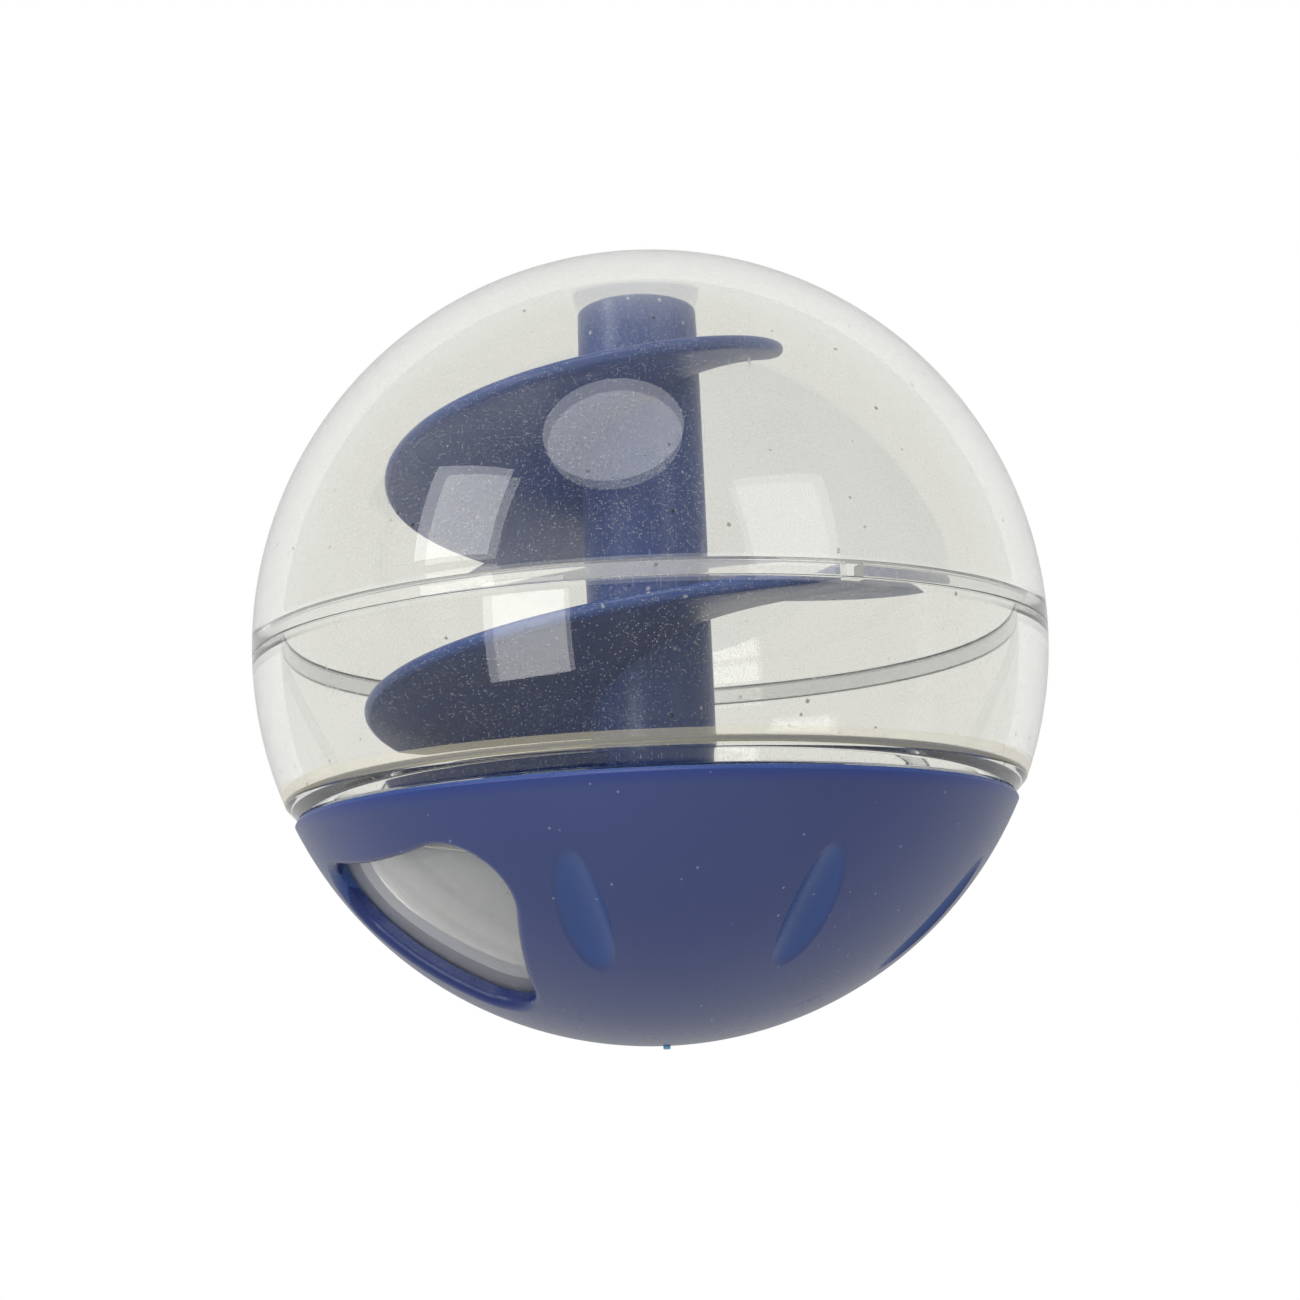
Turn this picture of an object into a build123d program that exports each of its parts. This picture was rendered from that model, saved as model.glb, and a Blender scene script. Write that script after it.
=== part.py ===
from build123d import *
from math import asin, cos, degrees, radians, sin, sqrt
import os

# Treat dispensing ball: a clear dome over a clear lower shell, a blue cap that turns on the shell,
# and a blue spiral ramp that stands inside. Origin at the centre of the ball, +Z up, millimetres.
# Azimuths are degrees anticlockwise from +X, seen from above. Latitudes are degrees above the equator.

# Driving dimensions of the ball
ball_diameter = 110.0
wall = 4.0
cap_wall = 2.5
bowl_wall = 3.2
running_gap = 0.3
push_gap = 0.1

# Lap joint between the dome and the lower shell
seam_drop = 0.6
lip_height = 2.1
lip_wall = 2.0
slot_width = 2.5
slot_azimuth = 298.5

# Lower seam, where the band of the shell steps in to the bowl
shoulder_drop = 22.8
web_thickness = 3.8
band_bevel = 1.8
rim_bevel = 0.6

# Snap bead that holds the cap on the bowl
bead_radius = 0.6
bead_below_rim = 1.7

# Treat opening of the cap and treat hole of the bowl
opening_width = 35.6
opening_height = 27.9
opening_corner = 7.8
opening_azimuth = 216.0
opening_below_rim = 8.6
opening_round = 1.2
hole_diameter = 22.0
hole_azimuth = 258.0
hole_latitude = -52.0

# Finger dimples, spaced evenly, with the opening in the place of one
dimple_places = 8
first_dimple_azimuth = 255.0
dimple_latitude = -46.5
dimple_radius = 4.5
dimple_depth = 1.5
dimple_reach = 63.0

# Mark left by the moulding gate at the bottom pole
gate_diameter = 1.0
gate_height = 0.5

# Post of the ramp, its seat and its spigot
post_diameter = 17.2
post_wall = 2.4
post_top_round = 0.7
spigot_height = 10.0
seat_rise = 1.4
seat_margin = 2.0
key_width = 2.0

# Helical ramp
ramp_pitch = 34.5
ramp_height_at_x = 7.7
ramp_top_azimuth = 375.0
ramp_foot_azimuth = -400.0
ramp_thickness = 1.8
ramp_side_gap = 8.8
ramp_end_gap = 10.0
ramp_middle_z = 5.0
ramp_root = 1.0

# Sizes that follow
ball_radius = ball_diameter / 2
inner_radius = ball_radius - wall
lip_radius = inner_radius + lip_wall
seam_z = -seam_drop
lip_top_z = seam_z + lip_height
cap_inner_radius = ball_radius - cap_wall
bowl_radius = cap_inner_radius - running_gap
bowl_inner_radius = bowl_radius - bowl_wall
shoulder_z = -shoulder_drop
web_top_z = shoulder_z + web_thickness
cap_top_z = shoulder_z - running_gap
bead_z = cap_top_z - bead_below_rim
post_radius = post_diameter / 2
bore_radius = post_radius - post_wall
seat_z = seat_rise - bowl_inner_radius
spigot_radius = bore_radius - push_gap
post_top_z = inner_radius - running_gap
rim_latitude = degrees(asin(cap_top_z / ball_radius))
mouth_half_angle = degrees(asin((opening_height / 2 + opening_round) / ball_radius))
opening_latitude = rim_latitude - mouth_half_angle - degrees(opening_below_rim / ball_radius)
dimple_step = 360.0 / dimple_places
ramp_radius = inner_radius - ramp_side_gap
ramp_half_height = inner_radius - ramp_end_gap


def width_at(radius, z):
    """Distance from the Z axis to a sphere of this radius at height z."""
    return sqrt(radius**2 - z**2)


def on_sphere(radius, azimuth, latitude):
    """Point of a sphere about the origin."""
    level = radius * cos(radians(latitude))
    return Vector(
        level * cos(radians(azimuth)),
        level * sin(radians(azimuth)),
        radius * sin(radians(latitude)),
    )


def turned(*edges):
    """Solid made by turning a closed profile in the XZ plane about the Z axis."""
    return revolve(make_face(Curve() + list(edges)), Axis.Z)


def sphere_arc(radius, z_from, z_to):
    """Arc of a sphere's section in the XZ plane, between two heights."""
    middle = (asin(z_from / radius) + asin(z_to / radius)) / 2
    return ThreePointArc(
        (width_at(radius, z_from), 0, z_from),
        (radius * cos(middle), 0, radius * sin(middle)),
        (width_at(radius, z_to), 0, z_to),
    )


def path(*points):
    """Straight edges through (width, height) points in the XZ plane."""
    return Polyline(*[(width, 0, height) for width, height in points])


def drill(diameter, azimuth, latitude, depth_from, depth_to):
    """Cylinder along a radius of the ball, between two distances from its centre."""
    axis = on_sphere(1, azimuth, latitude)
    plane = Plane(origin=axis * depth_from, z_dir=axis)
    length = depth_to - depth_from
    return plane * Cylinder(diameter / 2, length, align=(Align.CENTER, Align.CENTER, Align.MIN))


def radial_bar(azimuth, width, from_radius, to_radius, z_low, z_high):
    """Block that points away from the Z axis."""
    size = (to_radius - from_radius, width, z_high - z_low)
    block = Pos(from_radius, 0, z_low) * Box(*size, align=(Align.MIN, Align.CENTER, Align.MIN))
    return Rot(0, 0, azimuth) * block


def make_upper_dome():
    """Clear hemisphere with a rebated rim that pushes over the lip."""
    rebate_radius = lip_radius + push_gap
    rebate_top = lip_top_z + running_gap
    return turned(
        sphere_arc(ball_radius, seam_z, ball_radius),
        path((0, ball_radius), (0, inner_radius)),
        sphere_arc(inner_radius, inner_radius, rebate_top),
        path(
            (width_at(inner_radius, rebate_top), rebate_top),
            (rebate_radius, rebate_top),
            (rebate_radius, seam_z),
            (width_at(ball_radius, seam_z), seam_z),
        ),
    )


def make_lower_shell():
    """Clear band, web and bowl in one moulding, with the lip, treat hole, post seat and snap bead."""
    band_low = shoulder_z + band_bevel
    bevel_foot = width_at(ball_radius, shoulder_z) - band_bevel / 2
    shell = turned(
        path(
            (width_at(ball_radius, seam_z), seam_z),
            (lip_radius, seam_z),
            (lip_radius, lip_top_z),
            (width_at(inner_radius, lip_top_z), lip_top_z),
        ),
        sphere_arc(inner_radius, lip_top_z, web_top_z),
        path(
            (width_at(inner_radius, web_top_z), web_top_z),
            (width_at(bowl_inner_radius, web_top_z), web_top_z),
        ),
        sphere_arc(bowl_inner_radius, web_top_z, -bowl_inner_radius),
        path((0, -bowl_inner_radius), (0, -bowl_radius)),
        sphere_arc(bowl_radius, -bowl_radius, shoulder_z),
        path(
            (width_at(bowl_radius, shoulder_z), shoulder_z),
            (bevel_foot, shoulder_z),
            (width_at(ball_radius, band_low), band_low),
        ),
        sphere_arc(ball_radius, band_low, seam_z),
    )
    bead = Pos(0, 0, bead_z) * Torus(width_at(bowl_radius, bead_z), bead_radius)
    slot_outer = lip_radius + push_gap
    slot_top = lip_top_z + push_gap
    slot = radial_bar(slot_azimuth, slot_width, inner_radius - wall, slot_outer, seam_z, slot_top)
    seat_radius = post_radius + seat_margin
    seat = Pos(0, 0, -bowl_radius) * Cylinder(
        seat_radius, seat_z + bowl_radius, align=(Align.CENTER, Align.CENTER, Align.MIN)
    )
    seat &= Sphere(bowl_radius - bowl_wall / 2)
    spigot = Pos(0, 0, seat_z) * Cylinder(
        spigot_radius, spigot_height, align=(Align.CENTER, Align.CENTER, Align.MIN)
    )
    key = radial_bar(0, key_width, 0, post_radius - push_gap, seat_z, seat_z + spigot_height / 2)
    hole = drill(hole_diameter, hole_azimuth, hole_latitude, bowl_inner_radius / 2, ball_radius)
    return shell + bead - slot - hole + seat + spigot + key


def make_turning_cap():
    """Blue bowl with the treat opening, the finger dimples, the snap groove and the gate mark."""
    edge_width = width_at(ball_radius, cap_top_z - rim_bevel)
    cap = turned(
        path(
            (width_at(cap_inner_radius, cap_top_z), cap_top_z),
            (width_at(ball_radius, cap_top_z) - rim_bevel, cap_top_z),
            (edge_width, cap_top_z - rim_bevel),
        ),
        sphere_arc(ball_radius, cap_top_z - rim_bevel, -ball_radius),
        path((0, -ball_radius), (0, -cap_inner_radius)),
        sphere_arc(cap_inner_radius, -cap_inner_radius, cap_top_z),
    )
    cap -= Pos(0, 0, bead_z) * Torus(width_at(bowl_radius, bead_z), bead_radius + running_gap)
    cap -= make_opening()
    outward = on_sphere(1, opening_azimuth, opening_latitude)
    mouth_reach = opening_width / 2 + opening_corner
    mouth = [edge for edge in cap.edges() if outward.cross(edge @ 0.5).length < mouth_reach]
    outer_mouth = [edge for edge in mouth if abs((edge @ 0.5).length - ball_radius) < push_gap]
    cap = fillet(outer_mouth, opening_round)
    for place in range(dimple_places - 1):
        cap -= make_dimple(first_dimple_azimuth + place * dimple_step)
    gate_low = -ball_radius - gate_height
    gate = Pos(0, 0, gate_low) * Cylinder(
        gate_diameter / 2, gate_height + cap_wall / 2, align=(Align.CENTER, Align.CENTER, Align.MIN)
    )
    return cap + gate


def make_opening():
    """Cutter for the treat opening, a rounded triangle that narrows towards the bottom pole."""
    outward = on_sphere(1, opening_azimuth, opening_latitude)
    east = on_sphere(1, opening_azimuth + 90, 0)
    corner_x = opening_width / 2 - opening_corner
    corner_y = opening_height / 2 - opening_corner
    triangle = Polygon((-corner_x, corner_y), (0, -corner_y), (corner_x, corner_y), align=None)
    outline = offset(triangle, opening_corner, kind=Kind.ARC)
    plane = Plane(origin=outward * ball_radius / 2, x_dir=east, z_dir=outward)
    return extrude(plane * outline, ball_radius)


def make_dimple(azimuth):
    """Spindle-shaped cutter that leaves a leaf-shaped dimple along a meridian."""
    outward = on_sphere(1, azimuth, dimple_latitude)
    along = on_sphere(1, azimuth, dimple_latitude + 90)
    centre = outward * (ball_radius + dimple_radius - dimple_depth)
    half_reach = dimple_reach / 2
    spindle = turned(
        ThreePointArc((0, 0, -half_reach), (dimple_radius, 0, 0), (0, 0, half_reach)),
        path((0, half_reach), (0, -half_reach)),
    )
    return Plane(origin=centre, x_dir=outward, z_dir=along) * spindle


def make_post():
    """Hollow post, closed at the top, where it follows the inside of the dome."""
    corner_width = post_radius - post_top_round
    corner_z = width_at(post_top_z, post_radius) - post_top_round
    crown_z = width_at(post_top_z, corner_width)
    corner = ThreePointArc(
        (post_radius, 0, corner_z),
        (corner_width + post_top_round * sqrt(0.5), 0, corner_z + (crown_z - corner_z) * sqrt(0.5)),
        (corner_width, 0, crown_z),
    )
    bore_top = corner_z - post_wall
    return turned(
        path((bore_radius, seat_z), (post_radius, seat_z), (post_radius, corner_z)),
        corner,
        sphere_arc(post_top_z, crown_z, post_top_z),
        path((0, post_top_z), (0, bore_top), (bore_radius, bore_top), (bore_radius, seat_z)),
    )


def make_spiral_ramp():
    """Hollow post with a helical ramp, whose outer edge follows an egg-shaped envelope."""
    turns = (ramp_top_azimuth - ramp_foot_azimuth) / 360
    foot_z = ramp_height_at_x + ramp_pitch * ramp_foot_azimuth / 360
    section_inner = post_radius - ramp_root
    section_length = ramp_radius - section_inner + ramp_root
    helix = Helix(ramp_pitch, ramp_pitch * turns, ramp_radius / 2)
    section_plane = Plane(origin=helix @ 0, x_dir=(1, 0, 0), z_dir=helix % 0)
    section_centre = section_inner + section_length / 2 - ramp_radius / 2
    section = section_plane * Pos(section_centre, 0) * Rectangle(section_length, ramp_thickness)
    slab = sweep(section, path=helix, is_frenet=True)
    slab = Pos(0, 0, foot_z) * Rot(0, 0, ramp_foot_azimuth) * slab
    arc = EllipticalCenterArc((0, 0), ramp_radius, ramp_half_height, start_angle=-90, arc_size=180)
    profile = make_face(arc + Line((0, ramp_half_height), (0, -ramp_half_height)))
    envelope = Pos(0, 0, ramp_middle_z) * revolve(Plane.XZ * profile, Axis.Z)
    ramp = slab & envelope
    slot_depth = spigot_height / 2 + push_gap
    slot = radial_bar(0, key_width + 2 * push_gap, 0, post_radius + 1, seat_z, seat_z + slot_depth)
    return make_post() + ramp - slot


pieces = {
    "upper_dome": make_upper_dome(),
    "lower_shell": make_lower_shell(),
    "turning_cap": make_turning_cap(),
    "spiral_ramp": make_spiral_ramp(),
}

os.makedirs("parts", exist_ok=True)
for name, solid in pieces.items():
    export_step(solid, f"parts/{name}.step")
    print(name, round(solid.volume), solid.bounding_box())
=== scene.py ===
import math

import bmesh
import bpy
from mathutils import Matrix, Quaternion, Vector


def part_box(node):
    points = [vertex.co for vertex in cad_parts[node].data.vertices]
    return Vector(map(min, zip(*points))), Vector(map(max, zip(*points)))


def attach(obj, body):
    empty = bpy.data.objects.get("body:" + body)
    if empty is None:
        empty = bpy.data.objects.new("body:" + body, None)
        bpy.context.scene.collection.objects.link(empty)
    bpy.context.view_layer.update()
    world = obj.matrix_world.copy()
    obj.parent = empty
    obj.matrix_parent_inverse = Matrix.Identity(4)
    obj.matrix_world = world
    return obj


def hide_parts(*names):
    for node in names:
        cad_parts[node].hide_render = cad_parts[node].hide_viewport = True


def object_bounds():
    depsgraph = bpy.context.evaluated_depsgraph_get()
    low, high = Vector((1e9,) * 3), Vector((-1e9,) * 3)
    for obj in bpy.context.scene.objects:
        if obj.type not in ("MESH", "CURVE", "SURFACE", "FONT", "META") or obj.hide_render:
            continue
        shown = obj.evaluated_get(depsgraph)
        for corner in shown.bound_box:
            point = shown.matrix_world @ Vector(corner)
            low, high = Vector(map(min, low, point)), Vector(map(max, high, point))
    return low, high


# Treat dispensing ball: clear dome and lower shell, blue turning cap, blue spiral ramp.
# Sizes are millimetres in the ball's own frame, and MM turns them into Blender's metres.

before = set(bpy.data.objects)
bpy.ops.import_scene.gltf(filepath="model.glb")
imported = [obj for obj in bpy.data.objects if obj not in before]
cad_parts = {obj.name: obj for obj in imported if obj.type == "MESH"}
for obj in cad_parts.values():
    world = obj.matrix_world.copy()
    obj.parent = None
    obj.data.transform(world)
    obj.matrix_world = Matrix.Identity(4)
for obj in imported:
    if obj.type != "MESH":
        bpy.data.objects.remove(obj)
cad_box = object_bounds()

MM = 0.001
ball_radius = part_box("upper_dome")[1].z / MM

# Walls and gaps
wall = 4.0
cap_wall = 2.5
bowl_wall = 3.2
running_gap = 0.3
push_gap = 0.1

# Lap joint at the upper seam
seam_z = -0.6
lip_height = 2.1
lip_wall = 2.0
slot_width = 2.5
slot_azimuth = 298.5

# Lower seam and the snap bead
shoulder_z = -22.8
web_thickness = 3.8
band_bevel = 1.8
rim_bevel = 0.6
bead_radius = 0.6
bead_below_rim = 1.7

# Treat opening of the cap and treat hole of the bowl
opening_width = 35.6
opening_height = 27.9
opening_corner = 7.8
opening_azimuth = 216.0
opening_below_rim = 8.6
opening_round = 1.2
hole_radius = 11.0
hole_azimuth = 258.0
hole_latitude = -52.0

# Finger dimples and the gate mark
dimple_places = 8
first_dimple_azimuth = 255.0
dimple_latitude = -46.5
dimple_radius = 4.5
dimple_depth = 1.5
dimple_half_reach = 31.5
gate_radius = 0.5
gate_height = 0.5

# Post with its seat, spigot and key
post_radius = 8.6
post_wall = 2.4
post_top_round = 0.7
seat_rise = 1.4
seat_margin = 2.0
spigot_height = 10.0
key_width = 2.0

# Helical ramp
ramp_pitch = 34.5
ramp_height_at_x = 7.7
ramp_top_azimuth = 375.0
ramp_foot_azimuth = -400.0
ramp_thickness = 1.8
ramp_side_gap = 8.8
ramp_end_gap = 10.0
ramp_middle_z = 5.0
ramp_root = 1.0

# Rounding of moulded edges
sharp_edge = 0.1
fine_edge = 0.2
soft_edge = 0.5

# Sizes that follow
inner_radius = ball_radius - wall
lip_top_z = seam_z + lip_height
lip_radius = inner_radius + lip_wall
rebate_radius = lip_radius + push_gap
rebate_top = lip_top_z + running_gap
cap_inner_radius = ball_radius - cap_wall
bowl_radius = cap_inner_radius - running_gap
bowl_inner_radius = bowl_radius - bowl_wall
web_top_z = shoulder_z + web_thickness
cap_top_z = shoulder_z - running_gap
bead_z = cap_top_z - bead_below_rim
groove_radius = bead_radius + running_gap
bore_radius = post_radius - post_wall
seat_z = seat_rise - bowl_inner_radius
seat_radius = post_radius + seat_margin
spigot_radius = bore_radius - push_gap
post_top_z = inner_radius - running_gap
ramp_radius = inner_radius - ramp_side_gap
ramp_half_height = inner_radius - ramp_end_gap

# Fineness of the meshes
turn_segments = 360
small_turn_segments = 128
dimple_segments = 96
dimple_steps = 48
arc_step = 1.2
cap_arc_step = 0.8
round_steps = 8
corner_steps = 5
mouth_steps = 24
ramp_steps = 240
ramp_width_steps = 12

# How far a cutter reaches past what it cuts
cut_margin = 1.0
mouth_overlap = 0.02
mouth_cut_scale = 1.1

# Angles at which the snap bead and its groove run into the bowl and the cap
bead_angles = (-110, 50)
groove_angles = (-60, 95)
bead_join = 1.1
groove_join = 1.05

# Where the finishes, painted glows and painted recess tones change, in millimetres from the edges of the
# pieces
seam_haze_below = 0.3
seam_haze_above = 0.2
web_painted_glow_below = 1.8
web_painted_glow_above = 0.2
bowl_haze_start = 3.0
bowl_haze_full = 6.0
rim_painted_glow_depth = 2.2
painted_recess_depth = 0.5
gate_mark_start = 0.05

# Camera, from the outline and seams of the ball in the picture
picture_side = 1300
ball_centre_px = (650.3, 647.9)
ball_radius_px = 398.5
camera_distance = 7.5 * ball_radius
camera_elevation = -9.8
camera_roll = 2.39

# Strength of the surroundings as a source of light, next to the lamps
world_light = 0.7
front_glow = 0.42

# Distances from the ball between which the floor fades into the background
floor_fade_start = 2 * ball_radius
floor_fade_end = 7 * ball_radius


def width_at(radius, z):
    """Distance from the Z axis to a sphere of this radius at height z."""
    return math.sqrt(max(radius**2 - z**2, 0.0))


def around(width, azimuth, height):
    """Point at a distance from the Z axis."""
    turn = math.radians(azimuth)
    return Vector((width * math.cos(turn), width * math.sin(turn), height))


def on_sphere(radius, azimuth, latitude):
    """Point of a sphere about the origin."""
    rise = math.radians(latitude)
    return around(radius * math.cos(rise), azimuth, radius * math.sin(rise))


def sphere_arc(radius, z_from, z_to, step=arc_step):
    """Points along a sphere's section, between two heights."""
    start = math.asin(max(-1.0, min(1.0, z_from / radius)))
    end = math.asin(max(-1.0, min(1.0, z_to / radius)))
    steps = max(2, round(abs(end - start) * radius / step))
    angles = [start + (end - start) * i / steps for i in range(steps + 1)]
    return [(radius * math.cos(a), radius * math.sin(a)) for a in angles]


def circle_arc(centre, radius, start, end, steps):
    """Points of a circle in the profile's plane, angles in degrees."""
    angles = [math.radians(start + (end - start) * i / steps) for i in range(steps + 1)]
    return [(centre[0] + radius * math.cos(a), centre[1] + radius * math.sin(a)) for a in angles]


def soften(points):
    """Rounds each corner that is given as (width, height, radius)."""
    smooth = []
    for i, point in enumerate(points):
        if len(point) == 2:
            smooth.append(point)
            continue
        corner = Vector(point[:2])
        before = Vector(points[i - 1][:2]) - corner
        after = Vector(points[(i + 1) % len(points)][:2]) - corner
        half = before.angle(after) / 2
        reach = min(point[2] / math.tan(half), before.length * 0.5, after.length * 0.5)
        start = corner + before.normalized() * reach
        end = corner + after.normalized() * reach
        for k in range(corner_steps + 1):
            t = k / corner_steps
            spot = start * (1 - t) ** 2 + corner * 2 * t * (1 - t) + end * t**2
            smooth.append((spot.x, spot.y))
    return smooth


def new_piece(name, mesh_data):
    """Object of this mesh, in the scene."""
    piece = bpy.data.objects.new(name, mesh_data)
    bpy.context.scene.collection.objects.link(piece)
    return piece


def mesh_from(name, build):
    """Object whose mesh is filled by build(bm), with its normals outward."""
    bm = bmesh.new()
    build(bm)
    bmesh.ops.remove_doubles(bm, verts=bm.verts, dist=1e-7)
    bmesh.ops.recalc_face_normals(bm, faces=bm.faces)
    data = bpy.data.meshes.new(name)
    bm.to_mesh(data)
    bm.free()
    return new_piece(name, data)


def stitch(bm, rings):
    """Skin over rings of points, each a full ring or a single point, from the first round to the last."""
    count = max(len(ring) for ring in rings)
    rows = [[bm.verts.new(point * MM) for point in ring] for ring in rings]
    for row, following in zip(rows, rows[1:] + rows[:1]):
        if len(row) == 1 and len(following) == 1:
            continue
        for i in range(count):
            j = (i + 1) % count
            corners = [row[i % len(row)], row[j % len(row)]]
            corners += [following[j % len(following)], following[i % len(following)]]
            bm.faces.new(list(dict.fromkeys(corners)))


def lathe(name, profile, segments=turn_segments):
    """Closed profile of (width, height) points turned about the Z axis."""

    def build(bm):
        angles = [360 * i / segments for i in range(segments)]
        rings = []
        for width, height in profile:
            places = angles if width > 1e-6 else angles[:1]
            rings.append([around(width, angle, height) for angle in places])
        stitch(bm, rings)

    return mesh_from(name, build)


def radial_bar(name, azimuth, width, from_radius, to_radius, z_low, z_high):
    """Block that points away from the Z axis."""

    def build(bm):
        size = Vector((to_radius - from_radius, width, z_high - z_low)) * MM
        centre = Vector(((from_radius + to_radius) / 2, 0, (z_low + z_high) / 2)) * MM
        turn = Matrix.Rotation(math.radians(azimuth), 4, "Z")
        place = turn @ Matrix.Translation(centre) @ Matrix.Diagonal((*size, 1))
        bmesh.ops.create_cube(bm, size=1, matrix=place)

    return mesh_from(name, build)


def facing(azimuth, latitude):
    """Turn that points +Z along a radius of the ball, with +Y to the north."""
    return on_sphere(1, azimuth, latitude).to_track_quat("Z", "Y").to_matrix().to_4x4()


def aim(piece, azimuth, latitude):
    """Points a piece made along +Z along a radius of the ball."""
    piece.data.transform(facing(azimuth, latitude))
    return piece


def combine(piece, tool, operation):
    """Boolean of piece with tool, which is used up."""
    modifier = piece.modifiers.new("combine", "BOOLEAN")
    modifier.operation = operation
    modifier.solver = "EXACT"
    modifier.object = tool
    bpy.context.view_layer.update()
    graph = bpy.context.evaluated_depsgraph_get()
    result = bpy.data.meshes.new_from_object(piece.evaluated_get(graph))
    piece.modifiers.clear()
    old = piece.data
    piece.data = result
    bpy.data.meshes.remove(old)
    bpy.data.objects.remove(tool)


def finish_piece(piece, node, body, material, crease=32):
    """Shades the piece, stands it in for its CAD node and gives it its finish."""
    piece.data.name = piece.name
    piece.data.shade_smooth()
    piece.data.set_sharp_from_angle(angle=math.radians(crease))
    piece.data.materials.clear()
    piece.data.materials.append(material)
    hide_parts(node)
    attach(piece, body)


def make_dome():
    """Clear hemisphere with its rebated rim."""
    crown = sphere_arc(ball_radius, seam_z, ball_radius)
    ceiling = sphere_arc(inner_radius, inner_radius, rebate_top)
    profile = [(*crown[0], fine_edge), *crown[1:]]
    profile += [*ceiling[:-1], (*ceiling[-1], sharp_edge)]
    profile += [(rebate_radius, rebate_top, sharp_edge), (rebate_radius, seam_z, sharp_edge)]
    return lathe("clear_dome", soften(profile))


def make_shell():
    """Clear band, web and bowl with the lip, its slot, the treat hole, the seat and the spigot."""
    band_low = shoulder_z + band_bevel
    bevel_foot = width_at(ball_radius, shoulder_z) - band_bevel / 2
    band_inside = sphere_arc(inner_radius, lip_top_z, web_top_z)
    bowl_inside = sphere_arc(bowl_inner_radius, web_top_z, -width_at(bowl_inner_radius, seat_radius))
    bead_centre = (width_at(bowl_radius, bead_z), bead_z)
    bowl_low = sphere_arc(bowl_radius, -bowl_radius, bead_z - bead_radius * bead_join)
    bead = circle_arc(bead_centre, bead_radius, *bead_angles, round_steps)
    band_outside = sphere_arc(ball_radius, band_low, seam_z)
    spigot_top_z = seat_z + spigot_height
    profile = [(lip_radius, seam_z, sharp_edge), (lip_radius, lip_top_z, sharp_edge)]
    profile += [(*band_inside[0], sharp_edge), *band_inside[1:-1], (*band_inside[-1], soft_edge)]
    profile += [(*bowl_inside[0], soft_edge), *bowl_inside[1:]]
    profile += [(seat_radius, seat_z, sharp_edge), (spigot_radius, seat_z, fine_edge)]
    profile += [(spigot_radius, spigot_top_z, soft_edge), (0, spigot_top_z)]
    profile += bowl_low + bead
    profile += [(width_at(bowl_radius, shoulder_z), shoulder_z, fine_edge)]
    profile += [(bevel_foot, shoulder_z, fine_edge)]
    profile += [(*band_outside[0], soft_edge), *band_outside[1:-1], (*band_outside[-1], fine_edge)]
    shell = lathe("clear_shell", soften(profile))
    slot_outer = lip_radius + push_gap
    slot_top = lip_top_z + push_gap
    slot = radial_bar("slot", slot_azimuth, slot_width, inner_radius - wall, slot_outer, seam_z, slot_top)
    combine(shell, slot, "DIFFERENCE")
    key_top = seat_z + spigot_height / 2
    key = radial_bar("key", 0, key_width, 0, post_radius - push_gap, seat_z - bowl_wall / 2, key_top)
    combine(shell, key, "UNION")
    hole_profile = [(0, bowl_inner_radius / 2), (hole_radius, bowl_inner_radius / 2)]
    hole_profile += [(hole_radius, ball_radius), (0, ball_radius)]
    hole = lathe("hole", hole_profile, small_turn_segments)
    combine(shell, aim(hole, hole_azimuth, hole_latitude), "DIFFERENCE")
    return shell


def make_dimples():
    """Spindle-shaped cutters of all the finger dimples, as one tool."""
    arc_radius = (dimple_half_reach**2 + dimple_radius**2) / (2 * dimple_radius)
    half_angle = math.degrees(math.asin(dimple_half_reach / arc_radius))
    arc_centre = (dimple_radius - arc_radius, 0)
    spindle = circle_arc(arc_centre, arc_radius, -half_angle, half_angle, dimple_steps)
    spindle = [(0, -dimple_half_reach), *spindle[1:-1], (0, dimple_half_reach)]

    def build(bm):
        for place in range(dimple_places - 1):
            azimuth = first_dimple_azimuth + place * 360 / dimple_places
            cutter = lathe("dimple", spindle, dimple_segments)
            centre = on_sphere(ball_radius + dimple_radius - dimple_depth, azimuth, dimple_latitude)
            cutter.data.transform(Matrix.Translation(centre * MM) @ facing(azimuth, dimple_latitude + 90))
            bm.from_mesh(cutter.data)
            bpy.data.objects.remove(cutter)

    return mesh_from("dimples", build)


def mouth_latitude():
    """Latitude of the middle of the treat opening, which is set out from the cap's rim."""
    rim = math.asin(cap_top_z / ball_radius)
    half = math.asin((opening_height / 2 + opening_round) / ball_radius)
    return math.degrees(rim - half - opening_below_rim / ball_radius)


def mouth_outline():
    """Points round the treat opening, a rounded triangle, each with the direction out of it."""
    corner_x = opening_width / 2 - opening_corner
    corner_y = opening_height / 2 - opening_corner
    centres = [Vector((corner_x, corner_y)), Vector((-corner_x, corner_y)), Vector((0, -corner_y))]
    outline = []
    for i, centre in enumerate(centres):
        before = centre - centres[i - 1]
        after = centres[(i + 1) % len(centres)] - centre
        start = math.atan2(-before.x, before.y)
        for k in range(mouth_steps + 1):
            angle = start + before.angle(after) * k / mouth_steps
            out = Vector((math.cos(angle), math.sin(angle)))
            outline.append((centre + out * opening_corner, out))
        for k in range(1, mouth_steps):
            outline.append((centre + after * k / mouth_steps + out * opening_corner, out))
    return outline


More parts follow.
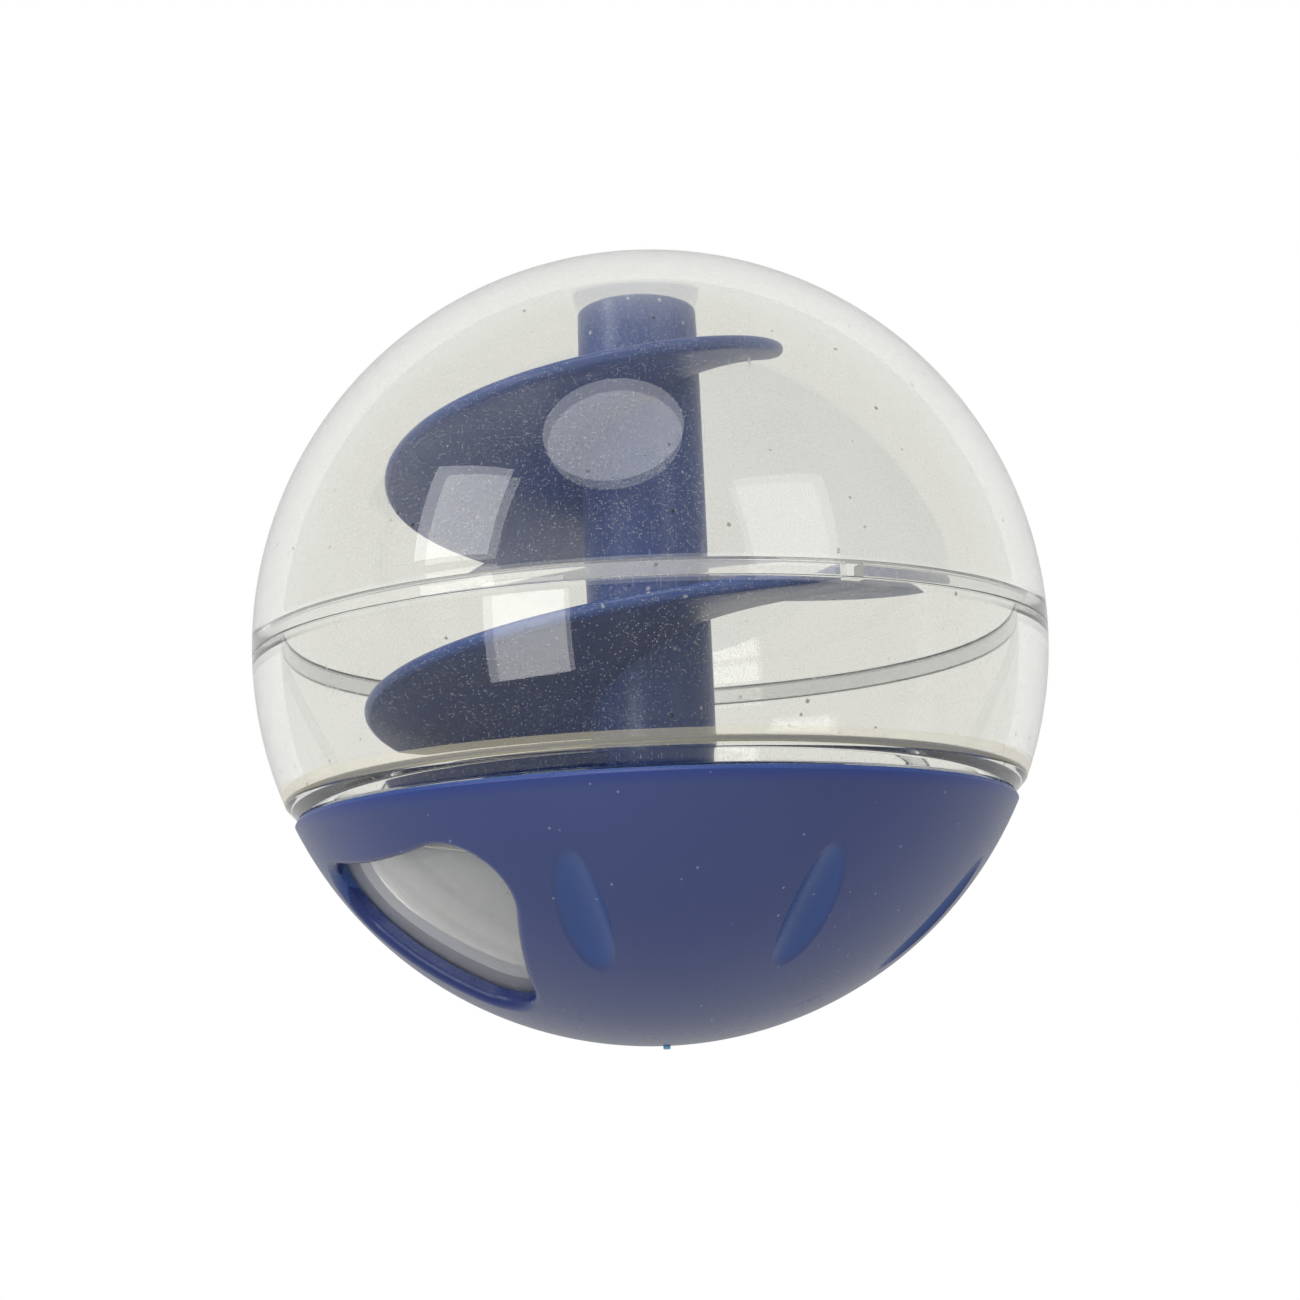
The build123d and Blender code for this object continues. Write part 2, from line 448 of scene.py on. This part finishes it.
def make_mouth():
    """Cutter of the treat opening, which flares to round the edge of its mouth."""
    flare_level = ball_radius - opening_round + mouth_overlap
    flare_steps = corner_steps * 2
    rows = []
    for point, out in mouth_outline():
        middle = point + out * opening_round
        centre = Vector((*middle, math.sqrt(flare_level**2 - middle.length_squared)))
        turn = Vector((*-out, 0)).rotation_difference(centre)
        row = [Vector((*point, ball_radius / 2))]
        for k in range(flare_steps + 1):
            part = Quaternion(turn.axis, turn.angle * k / flare_steps)
            row.append(centre + part @ Vector((*-out, 0)) * opening_round)
        rows.append([*row, row[-1] * mouth_cut_scale])
    rings = [list(ring) for ring in zip(*rows)]

    def build(bm):
        bottom = [Vector((0, 0, ball_radius / 2))]
        top = [Vector((0, 0, ball_radius * mouth_cut_scale))]
        stitch(bm, [bottom, *rings, top])

    return aim(mesh_from("mouth", build), opening_azimuth, mouth_latitude())


def make_cap():
    """Blue bowl with the rounded treat opening, finger dimples, snap groove and gate mark."""
    edge_z = cap_top_z - rim_bevel
    outside = sphere_arc(ball_radius, edge_z, -width_at(ball_radius, gate_radius), cap_arc_step)
    groove_centre = (width_at(bowl_radius, bead_z), bead_z)
    inside_low = sphere_arc(cap_inner_radius, -cap_inner_radius, bead_z - groove_radius * groove_join)
    groove = circle_arc(groove_centre, groove_radius, *groove_angles, round_steps)
    rim_inside = (width_at(cap_inner_radius, cap_top_z), cap_top_z, fine_edge)
    profile = [rim_inside, (width_at(ball_radius, cap_top_z) - rim_bevel, cap_top_z, fine_edge)]
    profile += [(*outside[0], fine_edge), *outside[1:]]
    profile += [(gate_radius, -ball_radius - gate_height, fine_edge), (0, -ball_radius - gate_height)]
    profile += inside_low + groove
    cap = lathe("blue_cap", soften(profile))
    combine(cap, make_dimples(), "DIFFERENCE")
    combine(cap, make_mouth(), "DIFFERENCE")
    return cap


def make_post():
    """Hollow post with a closed, rounded top."""
    crown = sphere_arc(post_top_z, width_at(post_top_z, post_radius), post_top_z)
    bore_top = crown[0][1] - post_top_round - post_wall
    profile = [(bore_radius, seat_z, fine_edge), (post_radius, seat_z, fine_edge)]
    profile += [(*crown[0], post_top_round), *crown[1:]]
    profile += [(0, bore_top), (bore_radius, bore_top, soft_edge)]
    return lathe("blue_ramp", soften(profile), small_turn_segments)


def ramp_section(z):
    """Section of the ramp at a height: (width, rise) points about its middle, with a rounded outer edge."""
    half = ramp_thickness / 2
    root = post_radius - ramp_root
    reach = ramp_radius * width_at(1, (z - ramp_middle_z) / ramp_half_height)
    span = reach - half - root
    widths = [root + span * i / ramp_width_steps for i in range(ramp_width_steps + 1)]
    under = [(w, -half) for w in widths]
    edge = circle_arc((reach - half, 0), half, -90, 90, round_steps)[1:-1]
    over = [(w, half) for w in reversed(widths)]
    return under + edge + over


def make_ramp():
    """Post with the helical ramp round it, as one moulding."""

    def build(bm):
        rows = []
        for i in range(ramp_steps + 1):
            azimuth = ramp_foot_azimuth + (ramp_top_azimuth - ramp_foot_azimuth) * i / ramp_steps
            middle = ramp_height_at_x + ramp_pitch * azimuth / 360
            points = [around(width, azimuth, middle + rise) for width, rise in ramp_section(middle)]
            rows.append([bm.verts.new(point * MM) for point in points])
        count = len(rows[0])
        for row, following in zip(rows, rows[1:]):
            for k in range(count):
                n = (k + 1) % count
                bm.faces.new((row[k], row[n], following[n], following[k]))
        bm.faces.new(rows[0])
        bm.faces.new(rows[-1])

    helix = mesh_from("helix", build)
    post = make_post()
    combine(post, helix, "UNION")
    slot_top = seat_z + spigot_height / 2 + push_gap
    slot_outer = post_radius + cut_margin
    keyway_width = key_width + 2 * push_gap
    slot = radial_bar("slot", 0, keyway_width, 0, slot_outer, seat_z - cut_margin, slot_top)
    combine(post, slot, "DIFFERENCE")
    return post


def new_material(name):
    """Node material with a Principled shader, and its tree."""
    material = bpy.data.materials.new(name)
    material.use_nodes = True
    return material, material.node_tree, material.node_tree.nodes["Principled BSDF"]


def math_node(tree, operation, first, second):
    """Math node of two inputs, each a number or another node's output."""
    node = tree.nodes.new("ShaderNodeMath")
    node.operation = operation
    for socket, value in zip(node.inputs, (first, second)):
        if isinstance(value, bpy.types.NodeSocket):
            tree.links.new(value, socket)
        else:
            socket.default_value = value
    return node.outputs[0]


def span_node(tree, value, low, high, start, end):
    """Output that runs from start to end while value runs from low to high."""
    node = tree.nodes.new("ShaderNodeMapRange")
    tree.links.new(value, node.inputs["Value"])
    for name, number in (("From Min", low), ("From Max", high), ("To Min", start), ("To Max", end)):
        node.inputs[name].default_value = number
    return node.outputs["Result"]


def mix_colour(tree, share, first, second):
    """Colour output that mixes two colours, each written out or another node's output."""
    node = tree.nodes.new("ShaderNodeMix")
    node.data_type = "RGBA"
    tree.links.new(share, node.inputs["Factor"])
    sockets = [socket for socket in node.inputs if socket.type == "RGBA"]
    for socket, value in zip(sockets, (first, second)):
        if isinstance(value, bpy.types.NodeSocket):
            tree.links.new(value, socket)
        else:
            socket.default_value = (*value, 1)
    return [socket for socket in node.outputs if socket.type == "RGBA"][0]


def mix_shader(tree, share, first, second):
    """Shader output that mixes two others."""
    node = tree.nodes.new("ShaderNodeMixShader")
    for socket, value in zip(node.inputs, (share, first, second)):
        tree.links.new(value, socket)
    return node.outputs[0]


def noise_node(tree, place, scale, detail=3.0):
    """Grey noise at a scale in waves per metre."""
    node = tree.nodes.new("ShaderNodeTexNoise")
    tree.links.new(place, node.inputs["Vector"])
    node.inputs["Scale"].default_value = scale
    node.inputs["Detail"].default_value = detail
    return node.outputs["Fac"]


def own_place(tree):
    """Position on the piece, in its own frame."""
    return tree.nodes.new("ShaderNodeTexCoord").outputs["Object"]


def axis_of(tree, place, axis):
    """One coordinate of a position or direction."""
    node = tree.nodes.new("ShaderNodeSeparateXYZ")
    tree.links.new(place, node.inputs[0])
    return node.outputs[axis]


def distance_from(tree, place, spot=(0, 0, 0)):
    """Distance of a position from a spot, by default the origin."""
    node = tree.nodes.new("ShaderNodeVectorMath")
    node.operation = "DISTANCE"
    tree.links.new(place, node.inputs[0])
    node.inputs[1].default_value = spot
    return node.outputs["Value"]


def band_mask(tree, height, low, high):
    """Mask that is 1 between two heights in millimetres."""
    above = math_node(tree, "GREATER_THAN", height, low * MM)
    below = math_node(tree, "LESS_THAN", height, high * MM)
    return math_node(tree, "MULTIPLY", above, below)


def new_group(name, inputs):
    """Shader group with these number inputs and one mask output."""
    group = bpy.data.node_groups.new(name, "ShaderNodeTree")
    for label in inputs:
        group.interface.new_socket(label, in_out="INPUT", socket_type="NodeSocketFloat")
    group.interface.new_socket("Mask", in_out="OUTPUT", socket_type="NodeSocketFloat")
    return group, group.nodes.new("NodeGroupInput"), group.nodes.new("NodeGroupOutput")


def make_dust_group():
    """Round specks of one size, each cell holding one at most, lying thicker in some patches."""
    group, given, result = new_group("dust", ("Scale", "Amount"))
    place = own_place(group)
    cells = group.nodes.new("ShaderNodeTexVoronoi")
    group.links.new(place, cells.inputs["Vector"])
    group.links.new(given.outputs["Scale"], cells.inputs["Scale"])
    speck = span_node(group, cells.outputs["Distance"], 0.16, 0.34, 1.0, 0.0)
    chance = group.nodes.new("ShaderNodeSeparateColor")
    group.links.new(cells.outputs["Color"], chance.inputs[0])
    patch = span_node(group, noise_node(group, place, 90.0), 0.35, 0.65, 0.3, 1.7)
    limit = math_node(group, "MULTIPLY", patch, given.outputs["Amount"])
    kept = math_node(group, "LESS_THAN", chance.outputs[0], limit)
    group.links.new(math_node(group, "MULTIPLY", speck, kept), result.inputs["Mask"])
    return group


def make_scratch_group():
    """Thin straight streaks that run two ways, broken up into short lengths."""
    group, given, result = new_group("scratches", ("Scale",))
    place = own_place(group)
    streaks = []
    for turn, stretch in ((25.0, (1.0, 45.0, 6.0)), (-55.0, (60.0, 5.0, 1.0))):
        mapping = group.nodes.new("ShaderNodeMapping")
        tilt = math.radians(turn)
        mapping.inputs["Rotation"].default_value = (tilt, tilt / 2, tilt)
        mapping.inputs["Scale"].default_value = stretch
        group.links.new(place, mapping.inputs["Vector"])
        noise = group.nodes.new("ShaderNodeTexNoise")
        noise.inputs["Detail"].default_value = 1.0
        group.links.new(mapping.outputs[0], noise.inputs["Vector"])
        group.links.new(given.outputs["Scale"], noise.inputs["Scale"])
        streaks.append(span_node(group, noise.outputs["Fac"], 0.68, 0.74, 0.0, 1.0))
    both = math_node(group, "MAXIMUM", streaks[0], streaks[1])
    broken = span_node(group, noise_node(group, place, 140.0), 0.5, 0.62, 0.0, 1.0)
    group.links.new(math_node(group, "MULTIPLY", both, broken), result.inputs["Mask"])
    return group


def use_group(tree, group, **values):
    """Mask output of a shared group, with its inputs set."""
    node = tree.nodes.new("ShaderNodeGroup")
    node.node_tree = group
    for name, value in values.items():
        node.inputs[name].default_value = value
    return node.outputs["Mask"]


def add_bump(tree, shader, height, depth):
    """Small relief on the shader's normal, with its depth in millimetres."""
    bump = tree.nodes.new("ShaderNodeBump")
    bump.inputs["Strength"].default_value = 1.0
    bump.inputs["Distance"].default_value = depth * MM
    tree.links.new(height, bump.inputs["Height"])
    tree.links.new(bump.outputs["Normal"], shader.inputs["Normal"])


def clear_plastic(dust, scratches):
    """Polished clear plastic, a little scuffed and speckled, milky at the seam and bowl, with a painted
    yellow glow of piped light on the web's outer edge, that lets lamps through to what is inside.
    """
    material, tree, shader = new_material("clear_plastic")
    place = own_place(tree)
    specks = use_group(tree, dust, Scale=900.0, Amount=0.004)
    streaks = use_group(tree, scratches, Scale=26.0)
    haze = noise_node(tree, place, 45.0, 4.0)
    cloud = span_node(tree, haze, 0.35, 0.65, 0.0, 1.0)
    tint = mix_colour(tree, cloud, (0.87, 0.87, 0.84), (0.85, 0.85, 0.815))
    height = axis_of(tree, place, "Z")
    seam = band_mask(tree, height, seam_z - seam_haze_below, rebate_top + seam_haze_above)
    outside = math_node(tree, "GREATER_THAN", distance_from(tree, place), cap_inner_radius * MM)
    # Painted yellow glow of light piped along the web's outer edge, on the outside of the band at the web's
    # height; it also makes that band milky.
    edge = band_mask(tree, height, web_top_z - web_painted_glow_below, web_top_z + web_painted_glow_above)
    edge = math_node(tree, "MULTIPLY", edge, outside)
    bowl_start = (shoulder_z - bowl_haze_start) * MM
    bowl_full = (shoulder_z - bowl_haze_full) * MM
    bowl = span_node(tree, height, bowl_start, bowl_full, 0.0, 1.0)
    joints = math_node(tree, "MAXIMUM", seam, bowl)
    tint = mix_colour(tree, joints, tint, (0.94, 0.94, 0.92))
    tree.links.new(mix_colour(tree, specks, tint, (0.16, 0.12, 0.08)), shader.inputs["Base Color"])
    scuff = math_node(tree, "MULTIPLY", streaks, 0.10)
    polish = span_node(tree, haze, 0.3, 0.7, 0.008, 0.03)
    tree.links.new(math_node(tree, "ADD", polish, scuff), shader.inputs["Roughness"])
    shader.inputs["IOR"].default_value = 1.5
    shader.inputs["Transmission Weight"].default_value = 1
    paths = tree.nodes.new("ShaderNodeLightPath")
    either = math_node(tree, "MAXIMUM", paths.outputs["Is Shadow Ray"], paths.outputs["Is Diffuse Ray"])
    open_way = tree.nodes.new("ShaderNodeBsdfTransparent")
    open_way.inputs["Color"].default_value = (0.93, 0.93, 0.92, 1)
    # Diffuse haze, near white, with the painted yellow glow of piped light on the web's outer edge.
    milk_and_painted_glow = tree.nodes.new("ShaderNodeBsdfDiffuse")
    tree.links.new(mix_colour(tree, edge, (0.9, 0.9, 0.86), (0.95, 0.87, 0.6)), milk_and_painted_glow.inputs["Color"])
    grains = use_group(tree, dust, Scale=3800.0, Amount=0.2)
    milk_and_glow_share = math_node(tree, "MULTIPLY", grains, 0.3)
    for mask, share in ((seam, 0.12), (edge, 0.25), (bowl, 0.2)):
        milk_and_glow_share = math_node(tree, "MAXIMUM", milk_and_glow_share, math_node(tree, "MULTIPLY", mask, share))
    surface = mix_shader(tree, milk_and_glow_share, shader.outputs[0], milk_and_painted_glow.outputs[0])
    surface = mix_shader(tree, either, surface, open_way.outputs[0])
    tree.links.new(surface, tree.nodes["Material Output"].inputs["Surface"])
    return material


def cap_plastic(dust, scratches):
    """Satin blue plastic, with a painted highlight that makes it brighter along the thin rim, painted light
    and painted shade in its hollows, and pale at the gate mark.
    """
    material, tree, shader = new_material("cap_plastic")
    place = own_place(tree)
    height = axis_of(tree, place, "Z")
    cloud = span_node(tree, noise_node(tree, place, 30.0, 5.0), 0.35, 0.65, 0.0, 1.0)
    colour = mix_colour(tree, cloud, (0.042, 0.062, 0.185), (0.050, 0.071, 0.205))
    # Painted highlight: a more saturated blue along the thin rim.
    rim = span_node(tree, height, (cap_top_z - rim_painted_glow_depth) * MM, cap_top_z * MM, 0.0, 1.0)
    colour = mix_colour(tree, rim, colour, (0.012, 0.04, 0.24))
    # Painted light and shade below the outer surface: lighter blue in the finger dimples and inside the
    # cap, painted shade on the walls of the treat opening and the inside of the cap round it.
    depth = distance_from(tree, place)
    painted_recess = span_node(tree, depth, (ball_radius - painted_recess_depth) * MM, ball_radius * MM, 1.0, 0.0)
    mouth_middle = on_sphere(ball_radius * MM, opening_azimuth, mouth_latitude())
    mouth_reach = max(point.length for point, out in mouth_outline()) + opening_round / 2
    mouth = math_node(tree, "LESS_THAN", distance_from(tree, place, mouth_middle), mouth_reach * MM)
    painted_recess_tone = mix_colour(tree, mouth, (0.036, 0.082, 0.26), (0.012, 0.03, 0.15))
    colour = mix_colour(tree, painted_recess, colour, painted_recess_tone)
    gate = math_node(tree, "LESS_THAN", height, (-ball_radius - gate_mark_start) * MM)
    colour = mix_colour(tree, gate, colour, (0.2, 0.5, 0.75))
    specks = use_group(tree, dust, Scale=1500.0, Amount=0.008)
    tree.links.new(mix_colour(tree, specks, colour, (0.2, 0.25, 0.4)), shader.inputs["Base Color"])
    grain = noise_node(tree, place, 2600.0, 2.0)
    streaks = use_group(tree, scratches, Scale=20.0)
    satin = span_node(tree, grain, 0.3, 0.7, 0.26, 0.36)
    scuff = math_node(tree, "MULTIPLY", streaks, 0.08)
    tree.links.new(math_node(tree, "ADD", satin, scuff), shader.inputs["Roughness"])
    add_bump(tree, shader, grain, 0.008)
    return material


def ramp_plastic(dust, scratches):
    """Dark blue plastic, dusted with fine pale grains."""
    material, tree, shader = new_material("ramp_plastic")
    place = own_place(tree)
    cloud = span_node(tree, noise_node(tree, place, 60.0, 5.0), 0.35, 0.65, 0.0, 1.0)
    colour = mix_colour(tree, cloud, (0.013, 0.055, 0.24), (0.019, 0.066, 0.28))
    fine = use_group(tree, dust, Scale=2400.0, Amount=0.5)
    coarse = use_group(tree, dust, Scale=900.0, Amount=0.04)
    faint = math_node(tree, "MULTIPLY", fine, 0.4)
    grains = math_node(tree, "MAXIMUM", faint, math_node(tree, "MULTIPLY", coarse, 0.7))
    tree.links.new(mix_colour(tree, grains, colour, (0.62, 0.64, 0.68)), shader.inputs["Base Color"])
    streaks = use_group(tree, scratches, Scale=24.0)
    dull = span_node(tree, cloud, 0.0, 1.0, 0.28, 0.38)
    scuff = math_node(tree, "MULTIPLY", streaks, 0.12)
    tree.links.new(math_node(tree, "ADD", dull, scuff), shader.inputs["Roughness"])
    add_bump(tree, shader, grains, 0.02)
    return material


def make_floor():
    """Pale floor that fades out round the ball, open from below and to light bounced off the ball."""
    material, tree, shader = new_material("pale_floor")
    shader.inputs["Base Color"].default_value = (0.9, 0.9, 0.9, 1)
    shader.inputs["Roughness"].default_value = 0.8
    sides = tree.nodes.new("ShaderNodeNewGeometry")
    paths = tree.nodes.new("ShaderNodeLightPath")
    bounced = math_node(tree, "MAXIMUM", paths.outputs["Is Diffuse Ray"], paths.outputs["Is Glossy Ray"])
    open_way = tree.nodes.new("ShaderNodeBsdfTransparent")
    share = math_node(tree, "MAXIMUM", sides.outputs["Backfacing"], bounced)
    away = distance_from(tree, own_place(tree))
    fade = span_node(tree, away, floor_fade_start * MM, floor_fade_end * MM, 0.0, 1.0)
    share = math_node(tree, "MAXIMUM", share, fade)
    surface = mix_shader(tree, share, shader.outputs[0], open_way.outputs[0])
    tree.links.new(surface, tree.nodes["Material Output"].inputs["Surface"])

    def build(bm):
        bmesh.ops.create_grid(bm, x_segments=1, y_segments=1, size=floor_fade_end * MM)

    floor = mesh_from("floor", build)
    floor.location.z = cad_box[0].z
    floor.data.materials.append(material)


def make_world():
    """White surroundings, dimmer as a source of light, and dimmer still where mirrored from the front."""
    world = bpy.data.worlds.new("white_studio")
    bpy.context.scene.world = world
    world.use_nodes = True
    tree = world.node_tree
    paths = tree.nodes.new("ShaderNodeLightPath")
    shown = math_node(tree, "MAXIMUM", paths.outputs["Is Camera Ray"], paths.outputs["Is Transmission Ray"])
    strength = span_node(tree, shown, 0.0, 1.0, world_light, 1.0)
    direction = tree.nodes.new("ShaderNodeTexCoord").outputs["Generated"]
    front = span_node(tree, axis_of(tree, direction, "Y"), -0.1, 0.5, world_light - front_glow, 0.0)
    mirrored = math_node(tree, "MULTIPLY", front, paths.outputs["Is Glossy Ray"])
    background = tree.nodes["Background"]
    background.inputs["Color"].default_value = (1, 1, 1, 1)
    tree.links.new(math_node(tree, "SUBTRACT", strength, mirrored), background.inputs["Strength"])


def area_light(name, spot, size, power, shape="SQUARE"):
    """Soft lamp at a point in units of the ball's radius, aimed at the ball."""
    data = bpy.data.lights.new(name, "AREA")
    data.shape = shape
    data.size = size * ball_radius * MM
    data.energy = power
    lamp = bpy.data.objects.new(name, data)
    lamp.location = Vector(spot) * ball_radius * MM
    lamp.visible_camera = False
    lamp.rotation_euler = (-lamp.location).to_track_quat("-Z", "Y").to_euler()
    bpy.context.scene.collection.objects.link(lamp)


def make_camera():
    """Camera below the ball's middle, looking up at it, as in the picture."""
    data = bpy.data.cameras.new("camera")
    distance_ratio = camera_distance / ball_radius
    focal_px = ball_radius_px * math.sqrt(distance_ratio**2 - 1)
    data.sensor_width = 36.0
    data.lens = data.sensor_width * focal_px / picture_side
    data.shift_x = (picture_side / 2 - ball_centre_px[0]) / picture_side
    data.shift_y = (ball_centre_px[1] - picture_side / 2) / picture_side
    data.clip_start = 0.01
    camera = bpy.data.objects.new("camera", data)
    tilt = math.radians(camera_elevation)
    camera.location = Vector((0, -math.cos(tilt), math.sin(tilt))) * camera_distance * MM
    aimed = (-camera.location).to_track_quat("-Z", "Y").to_matrix().to_4x4()
    roll = Matrix.Rotation(math.radians(-camera_roll), 4, "Z")
    camera.rotation_euler = (aimed @ roll).to_euler()
    bpy.context.scene.collection.objects.link(camera)
    bpy.context.scene.camera = camera


dust = make_dust_group()
scratches = make_scratch_group()
clear = clear_plastic(dust, scratches)
finish_piece(make_dome(), "upper_dome", "dome", clear)
finish_piece(make_shell(), "lower_shell", "shell", clear)
finish_piece(make_cap(), "turning_cap", "cap", cap_plastic(dust, scratches))
finish_piece(make_ramp(), "spiral_ramp", "ramp", ramp_plastic(dust, scratches))

make_floor()
make_world()
area_light("top_lamp", (-1.2, -6.6, 8.4), 6.2, 0.8, "DISK")
area_light("left_lamp", (-8.7, -6.1, 5.9), 4.8, 0.8)
area_light("right_lamp", (8.14, -9.36, 5.26), 5.8, 0.48)
area_light("front_lamp", (-2.0, -3.45, -0.27), 1.45, 0.07)
make_camera()

bpy.context.scene.view_settings.view_transform = "Standard"
